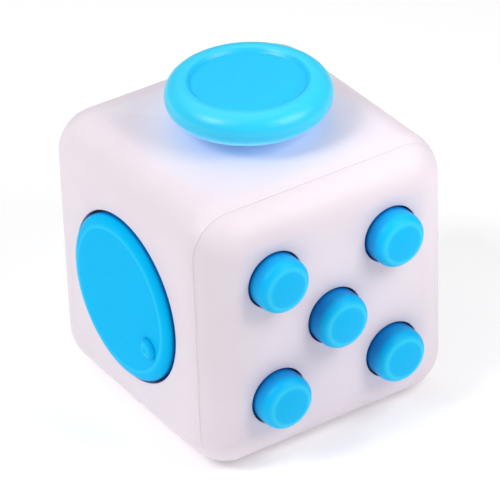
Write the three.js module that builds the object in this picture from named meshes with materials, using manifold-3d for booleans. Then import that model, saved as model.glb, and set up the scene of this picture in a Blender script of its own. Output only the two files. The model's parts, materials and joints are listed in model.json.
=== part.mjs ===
// A pocket fidget cube with a different thing to press, slide, spin, roll, flip or rub on each face.
//
// Units are millimetres, +Z is up and the origin is the centre of the face the cube stands on.
// The buttons are on the front (-Y), the dial on the left (-X), the joystick on top (+Z), the gears
// and the ball on the right (+X), the rocker on the back (+Y) and the thumb dish underneath (-Z).
//
// Each face has its own frame: its z axis points out of the cube, z = 0 is the outer skin, and y
// points up on the four sides. A depth below the skin is therefore a negative z.

import * as THREE from 'three';
import { mergeVertices } from 'three/addons/utils/BufferGeometryUtils.js';
import { RoundedBoxGeometry } from 'three/addons/geometries/RoundedBoxGeometry.js';
import Module from 'manifold-3d';

// ---------------------------------------------------------------- driving dimensions

const CUBE = 33;
const HALF = CUBE / 2;
const EDGE_RADIUS = 5;
const WALL = 1.8;
const SEAM = 13.6;
const SEAM_GAP = 0.15;
const GAP = 0.3;
const SLIDING_GAP = 0.2;
const TURNING_GAP = 0.1;
const HEAD_GAP = 0.1;
const SEAT_GAP = 0.05;
const CUT = 0.5;

const PEG_PLACE = 12.4;
const PEG_RADIUS = 1.2;
const PEG_REACH = 6.4;
const CORNER_BOSS_RADIUS = 2.4;
const CORNER_BOSS_LENGTH = 5;

const BUTTON_SPACING = 7.6;
const BUTTON_RADIUS = 3.2;
const BUTTON_HOLE_RADIUS = 3.45;
const BUTTON_PROUD = 2.7;
const BUTTON_FILLET = 1.2;
const BUTTON_FLANGE_RADIUS = 4.1;
const BUTTON_STEM_RADIUS = 1.3;
const BUTTON_STEM_END = -4.2;
const CLICK_PLATE_HALF = 10.3;
const CLICK_PLATE_TOP = -5.7;
const CLICK_PLATE_THICKNESS = 1;
const CLICK_SCREW_PLACE = 9;

const DOME_RADIUS = 2.6;
const DOME_HEIGHT = 1.2;
const DOME_THICKNESS = 0.25;
const PAD_FOOT_RADIUS = 2.4;
const PAD_TOP_RADIUS = 1.5;
const PAD_FOOT_THICKNESS = 0.3;

const DISC_RADIUS = 9.3;
const DISC_RIM = 1.95;
const DISC_HEIGHT = 3.7;
const DISC_DISH_RADIUS = 6.35;
const DISC_DISH_DEPTH = 0.6;
const DISC_DISH_CORNER = 0.22;
const DISC_FLOOR_RADIUS = 6;
const STEM_RADIUS = 2.6;
const STEM_END = -3.9;
const STEM_HOLE_RADIUS = 5;
const GLIDE_TRAVEL = 1.5;
const GLIDE_REST_X = 0.4;
const GLIDE_REST_Y = -0.2;
const SKIRT_RADIUS = 7.7;
const SKIRT_THICKNESS = 0.8;
const GLIDE_TRAY_HALF = 8.1;
const GLIDE_TRAY_TOP = -4.3;
const GLIDE_TRAY_FLOOR = -7.3;
const GLIDE_TRAY_BOTTOM = -8.1;
const CARRIAGE_HALF_X = 5.2;
const CARRIAGE_HALF_Y = 5;
const SLIDER_HALF_X = 2.5;
const SLIDER_HALF_Y = 2;
const GLIDE_SCREW_PLACE = 11.1;
const CENTERING_COIL_RADII = [5.3, 6.3];
const CENTERING_COIL_TURNS = 2;
const CENTERING_WIRE_RADIUS = 0.2;

const DIAL_RADIUS = 9.8;
const DIAL_PROUD = 0.9;
const DIAL_ROUND_WIDTH = 1.5;
const DIAL_ROUND_HEIGHT = 0.85;
const DIAL_POCKET_RADIUS = 10.15;
const DIAL_POCKET_DEPTH = 2.4;
const DIAL_BACKING = 1.2;
const DIAL_SHAFT_RADIUS = 1.6;
const DIAL_SHAFT_END = -4.35;
const DIAL_WASHER_RADIUS = 3.4;
const DIAL_WASHER_THICKNESS = 0.4;
const DIAL_SCREW_RADIUS = 2.2;
const BUMP_RADIUS = 1.25;
const BUMP_RISE = 0.75;
const BUMP_PLACE_X = 5.9;
const BUMP_PLACE_Y = -3.7;

const ROLL_PROUD = 1.5;
const GEAR_RADIUS = 4.6;
const GEAR_ROOT_RADIUS = 3.95;
const GEAR_TEETH = 16;
const GEAR_WIDTH = 2.6;
const GEAR_PITCH = 4.2;
const GEAR_LINE_X = -4.4;
const GEAR_SLOT_GAP = 0.25;
const TOOTH_TURN = 0.38;
const AXLE_RADIUS = 0.9;
const AXLE_HALF_LENGTH = 7.2;
const BRACKET_CHEEK = 1;
const BRACKET_CHEEK_HALF_X = 2.4;
const BRACKET_SIDE_GAP = 0.4;
const BRACKET_SPRING_LEDGE = 0.6;
const BRACKET_BOTTOM = -9;
const BRACKET_FLOOR = -8.2;
const BRACKET_SCREW_PLACE = 9.3;
const DETENT_THICKNESS = 0.2;
const DETENT_GAP = 0.12;
const DETENT_STRIP_HEIGHT = 0.9;
const DETENT_FINGER_HALF = 0.7;
const DETENT_FINGER_ABOVE_AXLE = 0.8;
const BALL_RADIUS = 3.6;
const BALL_LINE_X = 5.5;
const BALL_HOUSING_RADIUS = 4.8;
const BALL_HOUSING_BORE = 4;
const BALL_HOUSING_BOTTOM = -8.1;
const BALL_HOUSING_FLOOR = -7.5;
const BALL_SEAT_RADIUS = 3.3;
const BALL_SEAT_BOTTOM = -6.5;
const BALL_SEAT_LIP = 0.3;
const BALL_DOME_HEIGHT = 0.75;
const BALL_SCREW_PLACE = 7;

const ROCKER_PIVOT_DEPTH = 3.4;
const ROCKER_TILT = THREE.MathUtils.degToRad(12);
const ROCKER_VALLEY = 0.4;
const ROCKER_HALF_TOP = 5.6;
const ROCKER_HALF_WIDTH = 3.8;
const ROCKER_OPENING_X = 4.05;
const ROCKER_OPENING_Y = 7.6;
const ROCKER_PIN_RADIUS = 0.7;
const HUB_RADIUS = 2.2;
const HUB_TOP = -1.6;
const HUB_END = -2.9;
const PLUNGER_RADIUS = 0.6;
const PLUNGER_TIP = -3.75;
const PLUNGER_TOP = -2.55;
const PLUNGER_BORE_RADIUS = 0.85;
const PLUNGER_BORE_TOP = -1.2;
const PLUNGER_COIL_RADIUS = 0.42;
const PLUNGER_COIL_TURNS = 3;
const PLUNGER_WIRE_RADIUS = 0.12;
const FLIP_HOUSING_HALF_X = 5.3;
const FLIP_HOUSING_HALF_Y = 8.6;
const FLIP_HOUSING_BOTTOM = -8.1;
const FLIP_HOUSING_FLOOR = -7.4;
const FLIP_SCREW_PLACE = 7.4;

const DISH_HALF_X = 11.5;
const DISH_HALF_Y = 9.5;
const DISH_HALF_Z = 4.5;
const DISH_DEPTH = 2.8;
const DISH_BACKING = 1.4;

const SCREW_SHANK_RADIUS = 0.6;
const SCREW_HEAD_RADIUS = 1.35;
const SCREW_HEAD_HEIGHT = 0.8;
const SCREW_PILOT_RADIUS = 0.75;
const SCREW_BOSS_RADIUS = 1.6;
const SCREW_BOSS_END = -4;
const SCREW_EAR_TOP = -4.3;
const SCREW_EAR_THICKNESS = 0.8;
const EAR_SCREW_TOP = SCREW_EAR_TOP - SCREW_EAR_THICKNESS - HEAD_GAP;
const SCREW_TIP = -1.3;
const SCREW_SLOT_RADIUS = 0.5;
const SCREW_SLOT_DEPTH = 0.3;

// ---------------------------------------------------------------- materials

const looks = {
  white: { color: 0xf1eaf1, roughness: 0.42, metalness: 0 },
  blue: { color: 0x20beff, roughness: 0.36, metalness: 0 },
  grey: { color: 0x9a9ca2, roughness: 0.55, metalness: 0 },
  rubber: { color: 0x55585e, roughness: 0.8, metalness: 0 },
  steel: { color: 0xb9bcc2, roughness: 0.3, metalness: 1 },
};

function material(look) {
  return new THREE.MeshStandardMaterial(looks[look]);
}

// ---------------------------------------------------------------- solids and booleans

const wasm = await Module();
wasm.setup();

function welded(geometry) {
  const bare = geometry.clone();
  bare.deleteAttribute('normal');
  bare.deleteAttribute('uv');
  return mergeVertices(bare, 1e-4);
}

function solid(geometry) {
  const merged = welded(geometry);
  const index = merged.index.array;
  const corners = [];
  for (let i = 0; i < index.length; i += 3) {
    const [a, b, c] = [index[i], index[i + 1], index[i + 2]];
    if (a !== b && b !== c && c !== a) corners.push(a, b, c);
  }
  return new wasm.Manifold(new wasm.Mesh({
    numProp: 3,
    vertProperties: new Float32Array(merged.attributes.position.array),
    triVerts: new Uint32Array(corners),
  }));
}

function join(...geometries) {
  return geometries.map(solid).reduce((whole, piece) => whole.add(piece));
}

function cut(body, ...geometries) {
  return geometries.map(solid).reduce((whole, piece) => whole.subtract(piece), body);
}

function node(name, body, look) {
  const mesh = body.getMesh();
  const geometry = new THREE.BufferGeometry();
  geometry.setAttribute('position', new THREE.BufferAttribute(mesh.vertProperties, 3));
  geometry.setIndex(new THREE.BufferAttribute(mesh.triVerts, 1));
  geometry.computeVertexNormals();
  const result = new THREE.Mesh(geometry, material(look));
  result.name = name;
  return result;
}

// ---------------------------------------------------------------- basic shapes along z

function block([x0, x1], [y0, y1], [z0, z1]) {
  const box = new THREE.BoxGeometry(x1 - x0, y1 - y0, z1 - z0);
  return box.translate((x0 + x1) / 2, (y0 + y1) / 2, (z0 + z1) / 2);
}

function centredBlock(halfX, halfY, zSpan) {
  return block([-halfX, halfX], [-halfY, halfY], zSpan);
}

function rod(radius, [z0, z1], x = 0, y = 0, sides = 24) {
  const cylinder = new THREE.CylinderGeometry(radius, radius, z1 - z0, sides);
  return cylinder.rotateX(Math.PI / 2).translate(x, y, (z0 + z1) / 2);
}

function turned(outline, sides) {
  const points = outline.map(([radius, z]) => new THREE.Vector2(radius, z));
  return new THREE.LatheGeometry(points, sides).rotateX(Math.PI / 2);
}

function ring(inner, outer, [z0, z1], sides) {
  return turned([[inner, z0], [outer, z0], [outer, z1], [inner, z1], [inner, z0]], sides);
}

function arc(centreR, centreZ, radius, fromDegrees, toDegrees, steps) {
  const points = [];
  for (let i = 0; i <= steps; i += 1) {
    const angle = THREE.MathUtils.degToRad(fromDegrees + ((toDegrees - fromDegrees) * i) / steps);
    points.push([centreR + radius * Math.cos(angle), centreZ + radius * Math.sin(angle)]);
  }
  return points;
}

function ball(radius, x, y, z, sides = 24) {
  const sphere = new THREE.SphereGeometry(radius, sides, sides / 2);
  return sphere.rotateX(Math.PI / 2).translate(x, y, z);
}

function prismAlongX(outline, halfWidth) {
  const shape = new THREE.Shape(outline.map(([y, z]) => new THREE.Vector2(y, z)));
  const slab = new THREE.ExtrudeGeometry(shape, { depth: 2 * halfWidth, bevelEnabled: false });
  slab.translate(0, 0, -halfWidth);
  return slab.applyMatrix4(new THREE.Matrix4().set(0, 0, 1, 0, 1, 0, 0, 0, 0, 1, 0, 0, 0, 0, 0, 1));
}

class Coil extends THREE.Curve {
  constructor(radii, turns, zSpan) {
    super();
    Object.assign(this, { radii, turns, zSpan });
  }

  getPoint(t, target = new THREE.Vector3()) {
    const angle = 2 * Math.PI * this.turns * t;
    const radius = THREE.MathUtils.lerp(this.radii[0], this.radii[1], t);
    const z = THREE.MathUtils.lerp(this.zSpan[0], this.zSpan[1], t);
    return target.set(radius * Math.cos(angle), radius * Math.sin(angle), z);
  }
}

function coilSpring(coil, wireRadius, stepsPerTurn) {
  const wire = new THREE.Shape().absarc(0, 0, wireRadius, 0, 2 * Math.PI, false);
  return new THREE.ExtrudeGeometry(wire, {
    extrudePath: coil,
    steps: coil.turns * stepsPerTurn,
    curveSegments: 3,
    bevelEnabled: false,
  });
}

function screw(name, x, y, headTop, tip) {
  const headEnd = headTop - SCREW_HEAD_HEIGHT;
  const outline = [
    [0, headEnd + SCREW_SLOT_DEPTH],
    [SCREW_SLOT_RADIUS, headEnd + SCREW_SLOT_DEPTH],
    [SCREW_SLOT_RADIUS, headEnd],
    [SCREW_HEAD_RADIUS, headEnd],
    [SCREW_HEAD_RADIUS, headTop],
    [SCREW_SHANK_RADIUS, headTop],
    [SCREW_SHANK_RADIUS, tip - SCREW_SHANK_RADIUS],
    [0, tip],
  ];
  const result = node(name, solid(turned(outline, 8)), 'steel');
  result.position.set(x, y, 0);
  return result;
}

function snapDome(name, radius, height, base) {
  const inner = radius - DOME_THICKNESS;
  const crown = height - DOME_THICKNESS;
  const outline = [
    [0, base + crown],
    [inner * 0.55, base + crown * 0.75],
    [inner, base],
    [radius, base],
    [radius * 0.6, base + height * 0.8],
    [0, base + height],
  ];
  return node(name, solid(turned(outline, 14)), 'steel');
}

// ---------------------------------------------------------------- faces

const turns = { front: 0, right: 90, back: 180, left: -90 };

function face(side) {
  const group = new THREE.Group();
  if (side === 'top') {
    group.position.set(0, 0, HALF);
  } else if (side === 'bottom') {
    group.position.set(0, 0, -HALF);
    group.rotation.x = Math.PI;
  } else {
    const turn = THREE.MathUtils.degToRad(turns[side]);
    group.position.set(HALF * Math.sin(turn), -HALF * Math.cos(turn), 0);
    group.rotation.set(Math.PI / 2, 0, turn, 'ZXY');
  }
  group.updateMatrix();
  return group;
}

function onFace(side, geometry) {
  return geometry.applyMatrix4(face(side).matrix);
}

// ---------------------------------------------------------------- casing

function cubeBlank() {
  return new RoundedBoxGeometry(CUBE, CUBE, CUBE, 4, EDGE_RADIUS);
}

function cavity() {
  const inside = CUBE - 2 * WALL;
  return new RoundedBoxGeometry(inside, inside, inside, 2, EDGE_RADIUS - WALL);
}

function cornerPlaces(distance) {
  return [[-1, -1], [1, -1], [-1, 1], [1, 1]].map(([x, y]) => [x * distance, y * distance]);
}

function screwBosses(side, places) {
  const span = [SCREW_BOSS_END, -WALL + CUT];
  return places.map(([x, y]) => onFace(side, rod(SCREW_BOSS_RADIUS, span, x, y, 12)));
}

function screwPilots(side, places, bossEnd = SCREW_BOSS_END) {
  const span = [bossEnd - CUT, SCREW_TIP + GAP];
  return places.map(([x, y]) => onFace(side, rod(SCREW_PILOT_RADIUS, span, x, y, 8)));
}

const glideScrewPlaces = [[-GLIDE_SCREW_PLACE, 0], [GLIDE_SCREW_PLACE, 0]];
const rollScrewPlaces = [
  [GEAR_LINE_X, -BRACKET_SCREW_PLACE],
  [GEAR_LINE_X, BRACKET_SCREW_PLACE],
  [BALL_LINE_X, -BALL_SCREW_PLACE],
  [BALL_LINE_X, BALL_SCREW_PLACE],
];
const flipScrewPlaces = [[-FLIP_SCREW_PLACE, 0], [FLIP_SCREW_PLACE, 0]];
const clickScrewPlaces = [[0, -CLICK_SCREW_PLACE], [0, CLICK_SCREW_PLACE]];

const gearRows = { bottom: -GEAR_PITCH, middle: 0, top: GEAR_PITCH };
const gearLineZ = ROLL_PROUD - GEAR_RADIUS;
const ballLineZ = ROLL_PROUD - BALL_RADIUS;

function cornerBosses(side) {
  const seamDepth = SEAM - HALF;
  const span = [seamDepth - CORNER_BOSS_LENGTH, seamDepth];
  return cornerPlaces(PEG_PLACE).map(([x, y]) => onFace(side, rod(CORNER_BOSS_RADIUS, span, x, y, 12)));
}

function cornerBores(side) {
  const span = [-PEG_REACH - GAP, 0];
  const radius = PEG_RADIUS + SLIDING_GAP;
  return cornerPlaces(PEG_PLACE).map(([x, y]) => onFace(side, rod(radius, span, x, y, 10)));
}

function dishBlank(grow) {
  const sphere = new THREE.SphereGeometry(1, 28, 14).rotateX(Math.PI / 2);
  sphere.scale(DISH_HALF_X + grow, DISH_HALF_Y + grow, DISH_HALF_Z + grow);
  return onFace('bottom', sphere.translate(0, 0, DISH_HALF_Z - DISH_DEPTH));
}

function gearSlots() {
  const halfLength = GEAR_RADIUS + SLIDING_GAP;
  const halfWidth = GEAR_WIDTH / 2 + GEAR_SLOT_GAP;
  return Object.values(gearRows).map((row) => onFace('right', block(
    [GEAR_LINE_X - halfLength, GEAR_LINE_X + halfLength],
    [row - halfWidth, row + halfWidth],
    [-WALL - CUT, CUT],
  )));
}

function mainShell() {
  const belt = centredBlock(HALF + CUT, SEAM, [-HALF - CUT, HALF + CUT]);
  const backing = -DIAL_POCKET_DEPTH - DIAL_BACKING;
  const backingRadius = DIAL_POCKET_RADIUS + DIAL_BACKING;
  const dishCrust = dishBlank(DISH_BACKING);
  let body = solid(cubeBlank()).subtract(solid(cavity()));
  body = body.add(solid(dishCrust).intersect(solid(cubeBlank())));
  body = body.intersect(solid(belt));
  body = body.add(join(
    onFace('left', rod(backingRadius, [backing, -WALL + CUT], 0, 0, 32)),
    ...cornerBosses('front'),
    ...cornerBosses('back'),
    ...screwBosses('top', glideScrewPlaces),
    ...screwBosses('right', rollScrewPlaces),
  ));
  body = cut(
    body,
    dishBlank(0),
    onFace('left', rod(DIAL_POCKET_RADIUS, [-DIAL_POCKET_DEPTH, CUT], 0, 0, 48)),
    onFace('left', rod(DIAL_SHAFT_RADIUS + SLIDING_GAP, [backing - CUT, CUT], 0, 0, 16)),
    onFace('top', rod(STEM_HOLE_RADIUS, [-WALL - CUT, CUT], 0, 0, 32)),
    onFace('right', ball(BALL_RADIUS + SLIDING_GAP, BALL_LINE_X, 0, ballLineZ)),
    ...gearSlots(),
    ...cornerBores('front'),
    ...cornerBores('back'),
    ...screwPilots('top', glideScrewPlaces),
    ...screwPilots('right', rollScrewPlaces),
  );
  return node('main_shell', body, 'white');
}

function coverBlank(side) {
  const slab = onFace(side, centredBlock(HALF + CUT, HALF + CUT, [SEAM - HALF + SEAM_GAP, CUT]));
  const pegs = cornerPlaces(PEG_PLACE).map(([x, y]) => (
    onFace(side, rod(PEG_RADIUS, [-PEG_REACH, -WALL + CUT], x, y, 10))
  ));
  const plate = solid(cubeBlank()).subtract(solid(cavity())).intersect(solid(slab));
  return plate.add(join(...pegs));
}

function frontCover() {
  const span = [CLICK_PLATE_TOP + GAP, -WALL + CUT];
  const posts = clickScrewPlaces.map(([x, y]) => (
    onFace('front', rod(SCREW_BOSS_RADIUS, span, x, y, 12))
  ));
  const holes = buttonPlaces().map(([, x, y]) => (
    onFace('front', rod(BUTTON_HOLE_RADIUS, [-WALL - CUT, CUT], x, y))
  ));
  const body = cut(
    coverBlank('front').add(join(...posts)),
    ...holes,
    ...screwPilots('front', clickScrewPlaces, CLICK_PLATE_TOP),
  );
  return node('front_cover', body, 'white');
}

function backCover() {
  const opening = centredBlock(ROCKER_OPENING_X, ROCKER_OPENING_Y, [-WALL - CUT, CUT]);
  const body = cut(
    coverBlank('back').add(join(...screwBosses('back', flipScrewPlaces))),
    onFace('back', opening),
    ...screwPilots('back', flipScrewPlaces),
  );
  return node('back_cover', body, 'white');
}

// ---------------------------------------------------------------- click: five buttons

function buttonPlaces() {
  const step = BUTTON_SPACING;
  return [
    ['top_left', -step, step],
    ['top_right', step, step],
    ['center', 0, 0],
    ['bottom_left', -step, -step],
    ['bottom_right', step, -step],
  ];
}

const silentButtons = ['top_right', 'bottom_left'];

function button(name, x, y) {
  const flangeTop = -WALL - GAP;
  const flangeThickness = 0.8;
  const crown = 0.12;
  const outline = [
    [0, BUTTON_STEM_END],
    [BUTTON_STEM_RADIUS, BUTTON_STEM_END],
    [BUTTON_STEM_RADIUS, flangeTop - flangeThickness],
    [BUTTON_FLANGE_RADIUS, flangeTop - flangeThickness],
    [BUTTON_FLANGE_RADIUS, flangeTop],
    [BUTTON_RADIUS, flangeTop],
    ...arc(BUTTON_RADIUS - BUTTON_FILLET, BUTTON_PROUD - crown - BUTTON_FILLET, BUTTON_FILLET, 0, 84, 4),
    [0, BUTTON_PROUD],
  ];
  const result = node(`button_${name}`, solid(turned(outline, 20)), 'blue');
  result.position.set(x, y, 0);
  return result;
}

function silentPad(name) {
  const base = CLICK_PLATE_TOP + SEAT_GAP;
  const outline = [
    [0, base],
    [PAD_FOOT_RADIUS, base],
    [PAD_FOOT_RADIUS, base + PAD_FOOT_THICKNESS],
    [PAD_TOP_RADIUS, base + DOME_HEIGHT],
    [0, base + DOME_HEIGHT],
  ];
  return node(name, solid(turned(outline, 14)), 'rubber');
}

function buttonSpring(name, x, y) {
  const silent = silentButtons.includes(name);
  const result = silent
    ? silentPad(`silent_pad_${name}`)
    : snapDome(`snap_dome_${name}`, DOME_RADIUS, DOME_HEIGHT, CLICK_PLATE_TOP + SEAT_GAP);
  result.position.set(x, y, 0);
  return result;
}

function clickPlate() {
  const span = [CLICK_PLATE_TOP - CLICK_PLATE_THICKNESS, CLICK_PLATE_TOP];
  const holes = clickScrewPlaces.map(([x, y]) => (
    rod(SCREW_PILOT_RADIUS, [span[0] - CUT, span[1] + CUT], x, y, 8)
  ));
  const plate = solid(centredBlock(CLICK_PLATE_HALF, CLICK_PLATE_HALF, span));
  return node('click_plate', cut(plate, ...holes), 'grey');
}

function clickFace() {
  const group = face('front');
  for (const [name, x, y] of buttonPlaces()) {
    group.add(button(name, x, y), buttonSpring(name, x, y));
  }
  group.add(clickPlate());
  clickScrewPlaces.forEach(([x, y], i) => {
    const headTop = CLICK_PLATE_TOP - CLICK_PLATE_THICKNESS - HEAD_GAP;
    group.add(screw(`click_plate_screw_${i + 1}`, x, y, headTop, SCREW_TIP));
  });
  return group;
}

// ---------------------------------------------------------------- glide: the joystick

function glideCap() {
  const rimCentre = DISC_RADIUS - DISC_RIM;
  const dishFloor = DISC_HEIGHT + DISC_RIM - DISC_DISH_DEPTH;
  const outline = [
    [0, SCREW_TIP + GAP],
    [SCREW_PILOT_RADIUS, SCREW_TIP + GAP],
    [SCREW_PILOT_RADIUS, STEM_END],
    [STEM_RADIUS, STEM_END],
    [STEM_RADIUS, DISC_HEIGHT - DISC_RIM],
    ...arc(rimCentre, DISC_HEIGHT, DISC_RIM, -90, 110, 9),
    [DISC_DISH_RADIUS, dishFloor + DISC_DISH_CORNER],
    [DISC_FLOOR_RADIUS, dishFloor],
    [0, dishFloor],
  ];
  return node('joystick_cap', solid(turned(outline, 36)), 'blue');
}

function glideSkirt() {
  const top = -WALL - GAP;
  const span = [top - SKIRT_THICKNESS, top];
  return node('joystick_skirt', solid(ring(STEM_RADIUS + GAP, SKIRT_RADIUS, span, 24)), 'blue');
}

function glideSlider() {
  const bottom = GLIDE_TRAY_FLOOR + GAP;
  const headWell = [bottom - CUT, bottom + SCREW_HEAD_HEIGHT + SLIDING_GAP];
  const body = cut(
    join(
      centredBlock(SLIDER_HALF_X, SLIDER_HALF_Y, [bottom, GLIDE_TRAY_TOP - HEAD_GAP]),
      rod(SLIDER_HALF_Y - HEAD_GAP, [bottom + CUT, STEM_END - SLIDING_GAP], 0, 0, 20),
    ),
    rod(SCREW_PILOT_RADIUS, [bottom - CUT, STEM_END + CUT], 0, 0, 8),
    rod(SCREW_HEAD_RADIUS + SLIDING_GAP, headWell, 0, 0, 16),
  );
  return node('joystick_slider', body, 'grey');
}

function glideCarriage() {
  const span = [GLIDE_TRAY_FLOOR + GAP, GLIDE_TRAY_TOP - HEAD_GAP];
  const slotHalfY = SLIDER_HALF_Y + GLIDE_TRAVEL + SLIDING_GAP;
  const slot = centredBlock(SLIDER_HALF_X + SLIDING_GAP, slotHalfY, [span[0] - CUT, span[1] + CUT]);
  const body = cut(solid(centredBlock(CARRIAGE_HALF_X, CARRIAGE_HALF_Y, span)), slot);
  return node('joystick_carriage', body, 'grey');
}

function glideTray() {
  const earSpan = [SCREW_EAR_TOP - SCREW_EAR_THICKNESS, SCREW_EAR_TOP];
  const earHalfX = GLIDE_SCREW_PLACE + SCREW_BOSS_RADIUS;
  const well = centredBlock(
    CARRIAGE_HALF_X + GLIDE_TRAVEL + SLIDING_GAP,
    CARRIAGE_HALF_Y + SLIDING_GAP,
    [GLIDE_TRAY_FLOOR, GLIDE_TRAY_TOP + CUT],
  );
  const body = cut(
    join(
      centredBlock(GLIDE_TRAY_HALF, GLIDE_TRAY_HALF, [GLIDE_TRAY_BOTTOM, GLIDE_TRAY_TOP]),
      centredBlock(earHalfX, SCREW_BOSS_RADIUS, earSpan),
    ),
    well,
    ...glideScrewPlaces.map(([x, y]) => (
      rod(SCREW_PILOT_RADIUS, [earSpan[0] - CUT, earSpan[1] + CUT], x, y, 8)
    )),
  );
  return node('joystick_tray', body, 'grey');
}

function glideFace() {
  const group = face('top');
  const stemScrewHead = GLIDE_TRAY_FLOOR + GAP + HEAD_GAP + SCREW_HEAD_HEIGHT;
  const wire = CENTERING_WIRE_RADIUS;
  const skirtUnderside = -WALL - GAP - SKIRT_THICKNESS;
  const coilSpan = [GLIDE_TRAY_TOP + GAP + wire, skirtUnderside - SLIDING_GAP - wire];
  const coil = new Coil(CENTERING_COIL_RADII, CENTERING_COIL_TURNS, coilSpan);
  const stick = new THREE.Group();
  stick.add(glideCap(), glideSkirt(), glideSlider());
  stick.add(screw('joystick_screw', 0, 0, stemScrewHead, SCREW_TIP));
  stick.position.set(GLIDE_REST_X, GLIDE_REST_Y, 0);
  const carriage = glideCarriage();
  carriage.position.x = GLIDE_REST_X;
  const spring = node('joystick_centering_spring', solid(coilSpring(coil, wire, 30)), 'steel');
  group.add(stick, carriage, glideTray(), spring);
  glideScrewPlaces.forEach(([x, y], i) => {
    group.add(screw(`joystick_tray_screw_${i + 1}`, x, y, EAR_SCREW_TOP, SCREW_TIP));
  });
  return group;
}

// ---------------------------------------------------------------- spin: the dial

function dial() {
  const underside = -DIAL_POCKET_DEPTH + GAP;
  const edge = 0.3;
  const boreTop = underside - CUT;
  const roundedEdge = arc(0, 0, 1, 0, 90, 5).map(([across, up]) => [
    DIAL_RADIUS - DIAL_ROUND_WIDTH * (1 - across),
    DIAL_PROUD - DIAL_ROUND_HEIGHT * (1 - up),
  ]);
  const outline = [
    [0, boreTop],
    [SCREW_PILOT_RADIUS, boreTop],
    [SCREW_PILOT_RADIUS, DIAL_SHAFT_END],
    [DIAL_SHAFT_RADIUS, DIAL_SHAFT_END],
    [DIAL_SHAFT_RADIUS, underside],
    [DIAL_RADIUS - edge, underside],
    [DIAL_RADIUS, underside + edge],
    ...roundedEdge,
    [0, DIAL_PROUD],
  ];
  const sphereRadius = (BUMP_RADIUS ** 2 + BUMP_RISE ** 2) / (2 * BUMP_RISE);
  const bumpCentre = DIAL_PROUD + BUMP_RISE - sphereRadius;
  const bump = ball(sphereRadius, BUMP_PLACE_X, BUMP_PLACE_Y, bumpCentre, 16);
  return node('dial', join(turned(outline, 48), bump), 'blue');
}

function spinFace() {
  const group = face('left');
  const washerTop = -DIAL_POCKET_DEPTH - DIAL_BACKING - SLIDING_GAP;
  const washerSpan = [washerTop - DIAL_WASHER_THICKNESS, washerTop];
  const washer = ring(DIAL_SHAFT_RADIUS + SLIDING_GAP, DIAL_WASHER_RADIUS, washerSpan, 24);
  group.add(dial(), node('dial_washer', solid(washer), 'steel'));
  const headTop = DIAL_SHAFT_END - HEAD_GAP;
  const headEnd = headTop - SCREW_HEAD_HEIGHT;
  const outline = [
    [0, headEnd + SCREW_SLOT_DEPTH],
    [SCREW_SLOT_RADIUS, headEnd + SCREW_SLOT_DEPTH],
    [SCREW_SLOT_RADIUS, headEnd],
    [DIAL_SCREW_RADIUS, headEnd],
    [DIAL_SCREW_RADIUS, headTop],
    [SCREW_SHANK_RADIUS, headTop],
    [SCREW_SHANK_RADIUS, -DIAL_POCKET_DEPTH - CUT - SCREW_SHANK_RADIUS],
    [0, -DIAL_POCKET_DEPTH - CUT],
  ];
  group.add(node('dial_screw', solid(turned(outline, 16)), 'steel'));
  return group;
}

// ---------------------------------------------------------------- roll: three gears and a ball

function gear(name, row) {
  const outline = [];
  const step = (2 * Math.PI) / GEAR_TEETH;
  const corners = [
    [0.02, GEAR_ROOT_RADIUS],
    [0.24, GEAR_RADIUS],
    [0.52, GEAR_RADIUS],
    [0.74, GEAR_ROOT_RADIUS],
  ];
  for (let tooth = 0; tooth < GEAR_TEETH; tooth += 1) {
    for (const [share, radius] of corners) {
      const angle = (tooth + share - TOOTH_TURN) * step;
      outline.push(new THREE.Vector2(radius * Math.cos(angle), radius * Math.sin(angle)));
    }
  }
  const shape = new THREE.Shape(outline);
  shape.holes.push(new THREE.Path().absarc(0, 0, AXLE_RADIUS + TURNING_GAP, 0, 2 * Math.PI, true));
  const body = new THREE.ExtrudeGeometry(shape, {
    depth: GEAR_WIDTH,
    bevelEnabled: false,
    curveSegments: 8,
  });
  body.translate(0, 0, -GEAR_WIDTH / 2).rotateX(Math.PI / 2);
  const result = node(name, solid(body), 'blue');
  result.position.set(GEAR_LINE_X, row, gearLineZ);
  return result;
}

function gearAxle() {
  const body = new THREE.CylinderGeometry(AXLE_RADIUS, AXLE_RADIUS, 2 * AXLE_HALF_LENGTH, 16);
  const result = node('gear_axle', solid(body), 'steel');
  result.position.set(GEAR_LINE_X, 0, gearLineZ);
  return result;
}

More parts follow.
